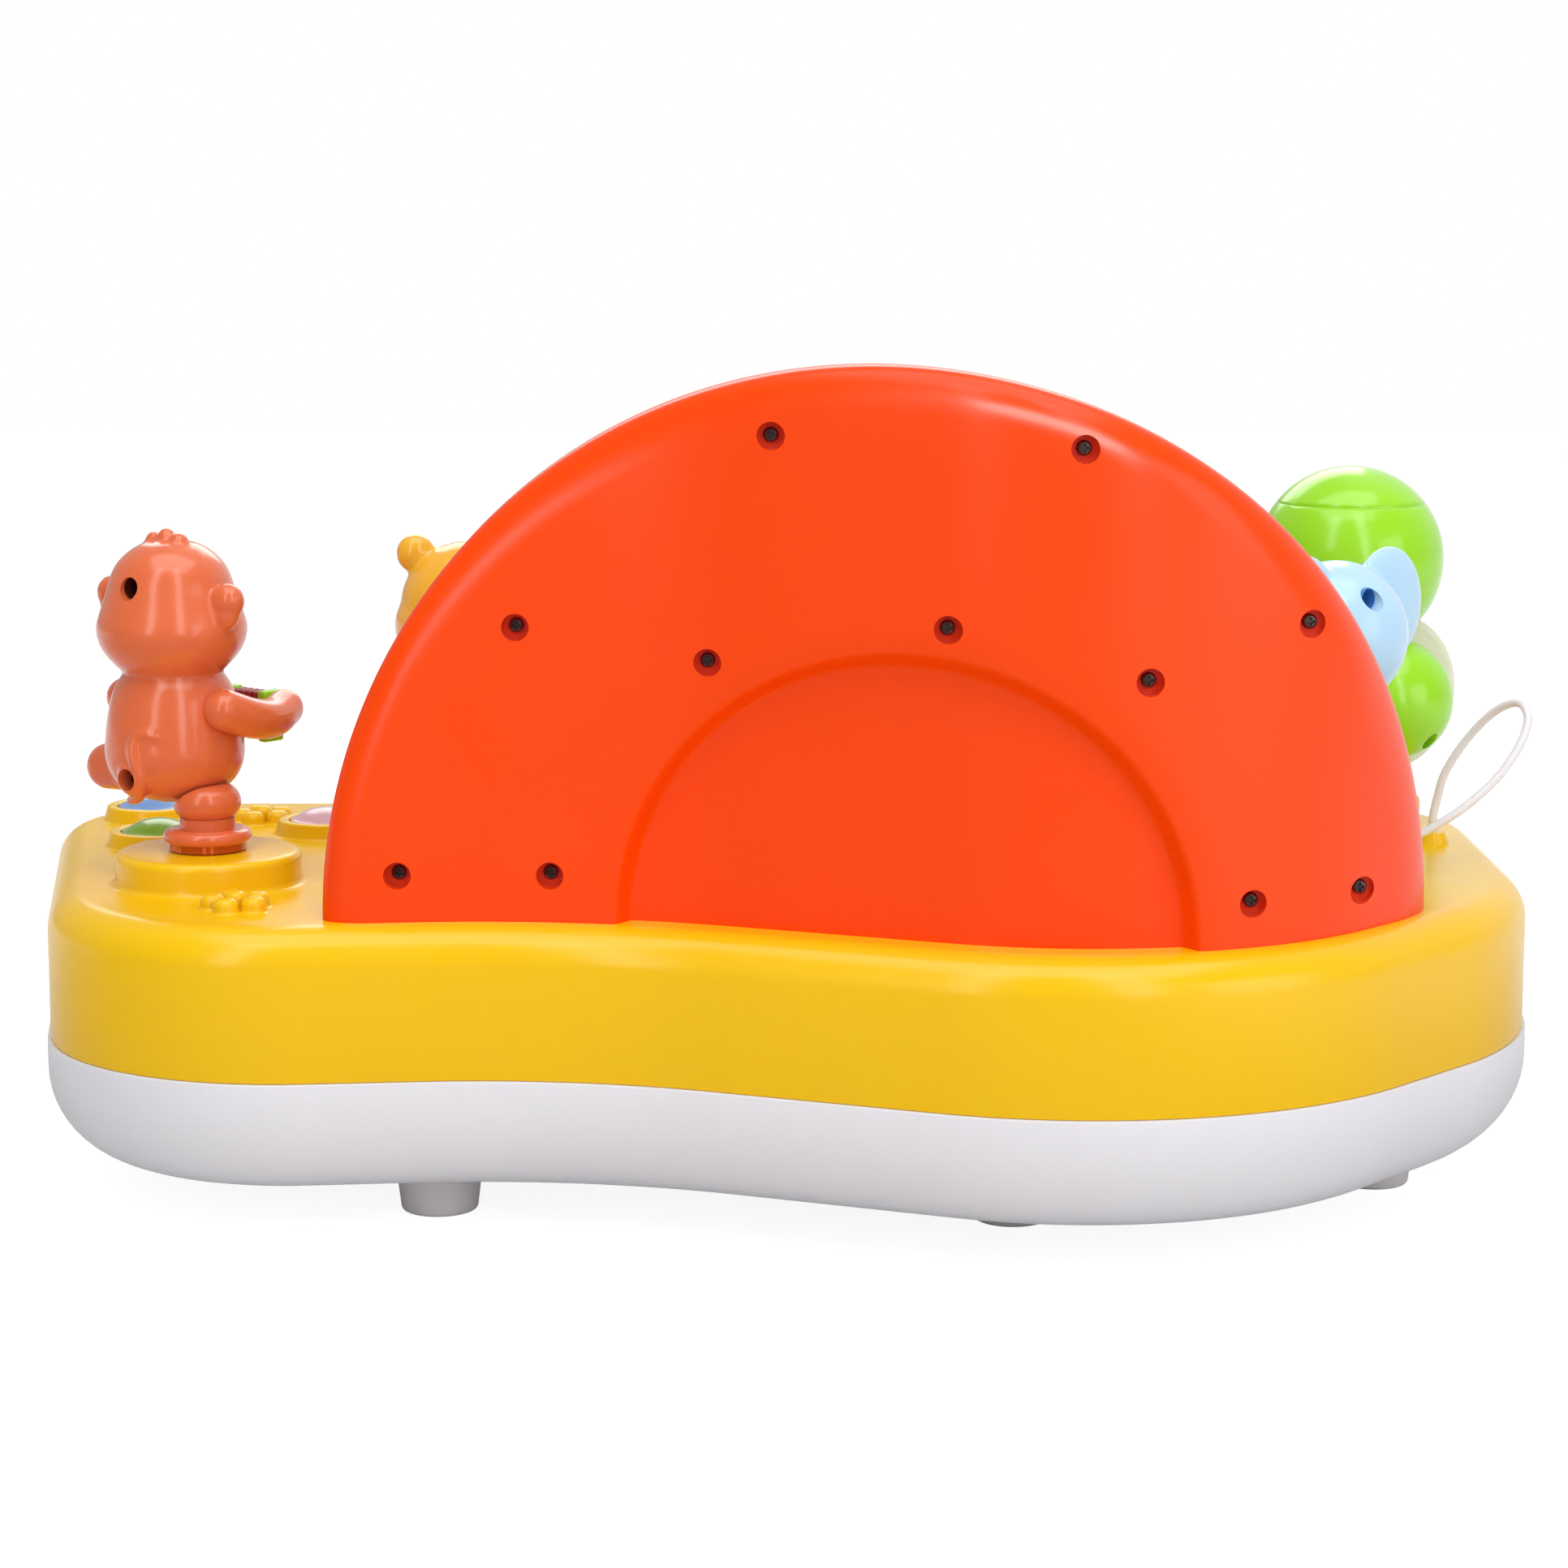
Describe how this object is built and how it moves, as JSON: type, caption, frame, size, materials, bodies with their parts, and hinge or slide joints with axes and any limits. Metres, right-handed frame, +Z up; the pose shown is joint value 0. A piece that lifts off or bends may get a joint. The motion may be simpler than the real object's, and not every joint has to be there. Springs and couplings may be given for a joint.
{
  "type": "toy piano",
  "caption": "Battery toy piano with a half-round backboard, sprung keys, dome buttons, turning animal band figures and a corded microphone on a waisted base.",
  "frame": {"origin": "centre of the footprint box, on the surface the feet rest on", "axes": "+X along the length toward the monkey, +Y toward the rear of the toy (the camera side), +Z up; keys face -Y"},
  "size_m": [0.3872, 0.2272, 0.207],
  "materials": {
    "white_shell": "satin moulded, fine grain",
    "yellow_shell": "glossy moulded",
    "orange_shell": "glossy moulded",
    "cream_panel": "glossy moulded",
    "foot_rubber": "soft grey",
    "steel_screw": "dark zinc",
    "steel_bright": "bright",
    "battery_wrap": "printed sleeve",
    "circuit_green": "solder mask",
    "speaker_grey": "pressed steel",
    "paper_black": "paper cone",
    "silicone_grey": "silicone",
    "switch_black": "moulded",
    "band_yellow": "glossy",
    "band_green": "glossy",
    "band_blue": "glossy",
    "cord_white": "soft vinyl",
    "monkey_brown": "glossy vinyl",
    "accordion_red": "painted",
    "bear_yellow": "glossy vinyl",
    "elephant_blue": "glossy vinyl",
    "turtle_green": "glossy vinyl",
    "turtle_cream": "glossy vinyl",
    "mic_white": "glossy",
    "mic_grille": "perforated ball",
    "button_green": "glossy",
    "button_blue": "glossy",
    "button_pink": "glossy",
    "slider_orange": "ribbed",
    "key_tone_1": "glossy",
    "key_tone_2": "glossy",
    "key_tone_3": "glossy",
    "key_tone_4": "glossy",
    "key_tone_5": "glossy",
    "key_tone_6": "glossy",
    "key_tone_7": "glossy",
    "key_tone_8": "glossy"
  },
  "bodies": {
    "housing": {"base_shell": "white_shell", "top_shell": "yellow_shell", "feet": "foot_rubber", "housing_screws": "steel_screw", "battery_door": "white_shell", "battery_door_screw": "steel_screw", "batteries": "battery_wrap", "battery_contacts": "steel_bright", "main_board": "circuit_green", "speaker_basket": "speaker_grey", "speaker_cone": "paper_black", "key_rod": "steel_bright", "key_board": "circuit_green", "key_pads": "silicone_grey", "button_pads": "silicone_grey", "power_switch": "switch_black", "board_back": "orange_shell", "board_front": "cream_panel", "board_screws": "steel_screw", "rainbow_outer": "band_yellow", "rainbow_middle": "band_green", "rainbow_inner": "band_blue", "mic_cup": "band_blue", "cord_outlet": "yellow_shell", "mic_cord": "cord_white"},
    "key_1": {"key_1": "key_tone_1"},
    "key_2": {"key_2": "key_tone_2"},
    "key_3": {"key_3": "key_tone_3"},
    "key_4": {"key_4": "key_tone_4"},
    "key_5": {"key_5": "key_tone_5"},
    "key_6": {"key_6": "key_tone_6"},
    "key_7": {"key_7": "key_tone_7"},
    "key_8": {"key_8": "key_tone_8"},
    "button_green": {"button_green": "button_green"},
    "button_blue": {"button_blue": "button_blue"},
    "button_pink": {"button_pink": "button_pink"},
    "power_slider": {"power_slider": "slider_orange"},
    "monkey": {"monkey_back": "monkey_brown", "monkey_front": "monkey_brown", "monkey_arms": "monkey_brown", "monkey_accordion": "accordion_red", "monkey_post": "monkey_brown", "monkey_screws": "steel_screw"},
    "bear": {"bear_back": "bear_yellow", "bear_front": "bear_yellow", "bear_drum": "band_blue", "bear_post": "bear_yellow"},
    "elephant": {"elephant_back": "elephant_blue", "elephant_front": "elephant_blue", "elephant_post": "elephant_blue", "elephant_screws": "steel_screw"},
    "turtle": {"turtle_head_back": "turtle_green", "turtle_head_front": "turtle_green", "turtle_shell": "turtle_green", "turtle_belly": "turtle_cream", "turtle_post": "turtle_cream", "turtle_screws": "steel_screw"},
    "microphone": {"mic_ball": "mic_grille", "mic_handle": "mic_white", "mic_sleeve": "cord_white"}
  },
  "joints": [
    {"name": "key_1_press", "type": "hinge", "parent": "housing", "child": "key_1", "pos_m": [-0.084, -0.037, 0.066], "axis": [1, 0, 0], "range_deg": [0, 4], "stiffness_Nm_per_rad": 0.06, "springref_deg": -20.05},
    {"name": "key_2_press", "type": "hinge", "parent": "housing", "child": "key_2", "pos_m": [-0.06, -0.037, 0.066], "axis": [1, 0, 0], "range_deg": [0, 4], "stiffness_Nm_per_rad": 0.06, "springref_deg": -20.05},
    {"name": "key_3_press", "type": "hinge", "parent": "housing", "child": "key_3", "pos_m": [-0.036, -0.037, 0.066], "axis": [1, 0, 0], "range_deg": [0, 4], "stiffness_Nm_per_rad": 0.06, "springref_deg": -20.05},
    {"name": "key_4_press", "type": "hinge", "parent": "housing", "child": "key_4", "pos_m": [-0.012, -0.037, 0.066], "axis": [1, 0, 0], "range_deg": [0, 4], "stiffness_Nm_per_rad": 0.06, "springref_deg": -20.05},
    {"name": "key_5_press", "type": "hinge", "parent": "housing", "child": "key_5", "pos_m": [0.012, -0.037, 0.066], "axis": [1, 0, 0], "range_deg": [0, 4], "stiffness_Nm_per_rad": 0.06, "springref_deg": -20.05},
    {"name": "key_6_press", "type": "hinge", "parent": "housing", "child": "key_6", "pos_m": [0.036, -0.037, 0.066], "axis": [1, 0, 0], "range_deg": [0, 4], "stiffness_Nm_per_rad": 0.06, "springref_deg": -20.05},
    {"name": "key_7_press", "type": "hinge", "parent": "housing", "child": "key_7", "pos_m": [0.06, -0.037, 0.066], "axis": [1, 0, 0], "range_deg": [0, 4], "stiffness_Nm_per_rad": 0.06, "springref_deg": -20.05},
    {"name": "key_8_press", "type": "hinge", "parent": "housing", "child": "key_8", "pos_m": [0.084, -0.037, 0.066], "axis": [1, 0, 0], "range_deg": [0, 4], "stiffness_Nm_per_rad": 0.06, "springref_deg": -20.05},
    {"name": "button_green_press", "type": "slide", "parent": "housing", "child": "button_green", "axis": [0, 0, -1], "range_m": [0, 0.0025], "stiffness_N_per_m": 150, "springref_m": -0.004},
    {"name": "button_blue_press", "type": "slide", "parent": "housing", "child": "button_blue", "axis": [0, 0, -1], "range_m": [0, 0.0025], "stiffness_N_per_m": 150, "springref_m": -0.004},
    {"name": "button_pink_press", "type": "slide", "parent": "housing", "child": "button_pink", "axis": [0, 0, -1], "range_m": [0, 0.0025], "stiffness_N_per_m": 150, "springref_m": -0.004},
    {"name": "power_slide", "type": "slide", "parent": "housing", "child": "power_slider", "axis": [1, 0, 0], "range_m": [0, 0.006]},
    {"name": "monkey_turn", "type": "hinge", "parent": "housing", "child": "monkey", "pos_m": [0.137, 0.014, 0.08], "axis": [0, 0, 1], "continuous": true},
    {"name": "bear_turn", "type": "hinge", "parent": "housing", "child": "bear", "pos_m": [0.074, -0.005, 0.08], "axis": [0, 0, 1], "range_deg": [-35, 35]},
    {"name": "elephant_turn", "type": "hinge", "parent": "housing", "child": "elephant", "pos_m": [-0.141, 0.006, 0.08], "axis": [0, 0, 1], "range_deg": [-20, 20]},
    {"name": "turtle_turn", "type": "hinge", "parent": "housing", "child": "turtle", "pos_m": [-0.168, -0.073, 0.08], "axis": [0, 0, 1], "continuous": true},
    {"name": "microphone_lift", "type": "slide", "parent": "housing", "child": "microphone", "axis": [0, 0, 1], "range_m": [0, 0.03], "deforming": ["mic_cord"]}
  ]
}
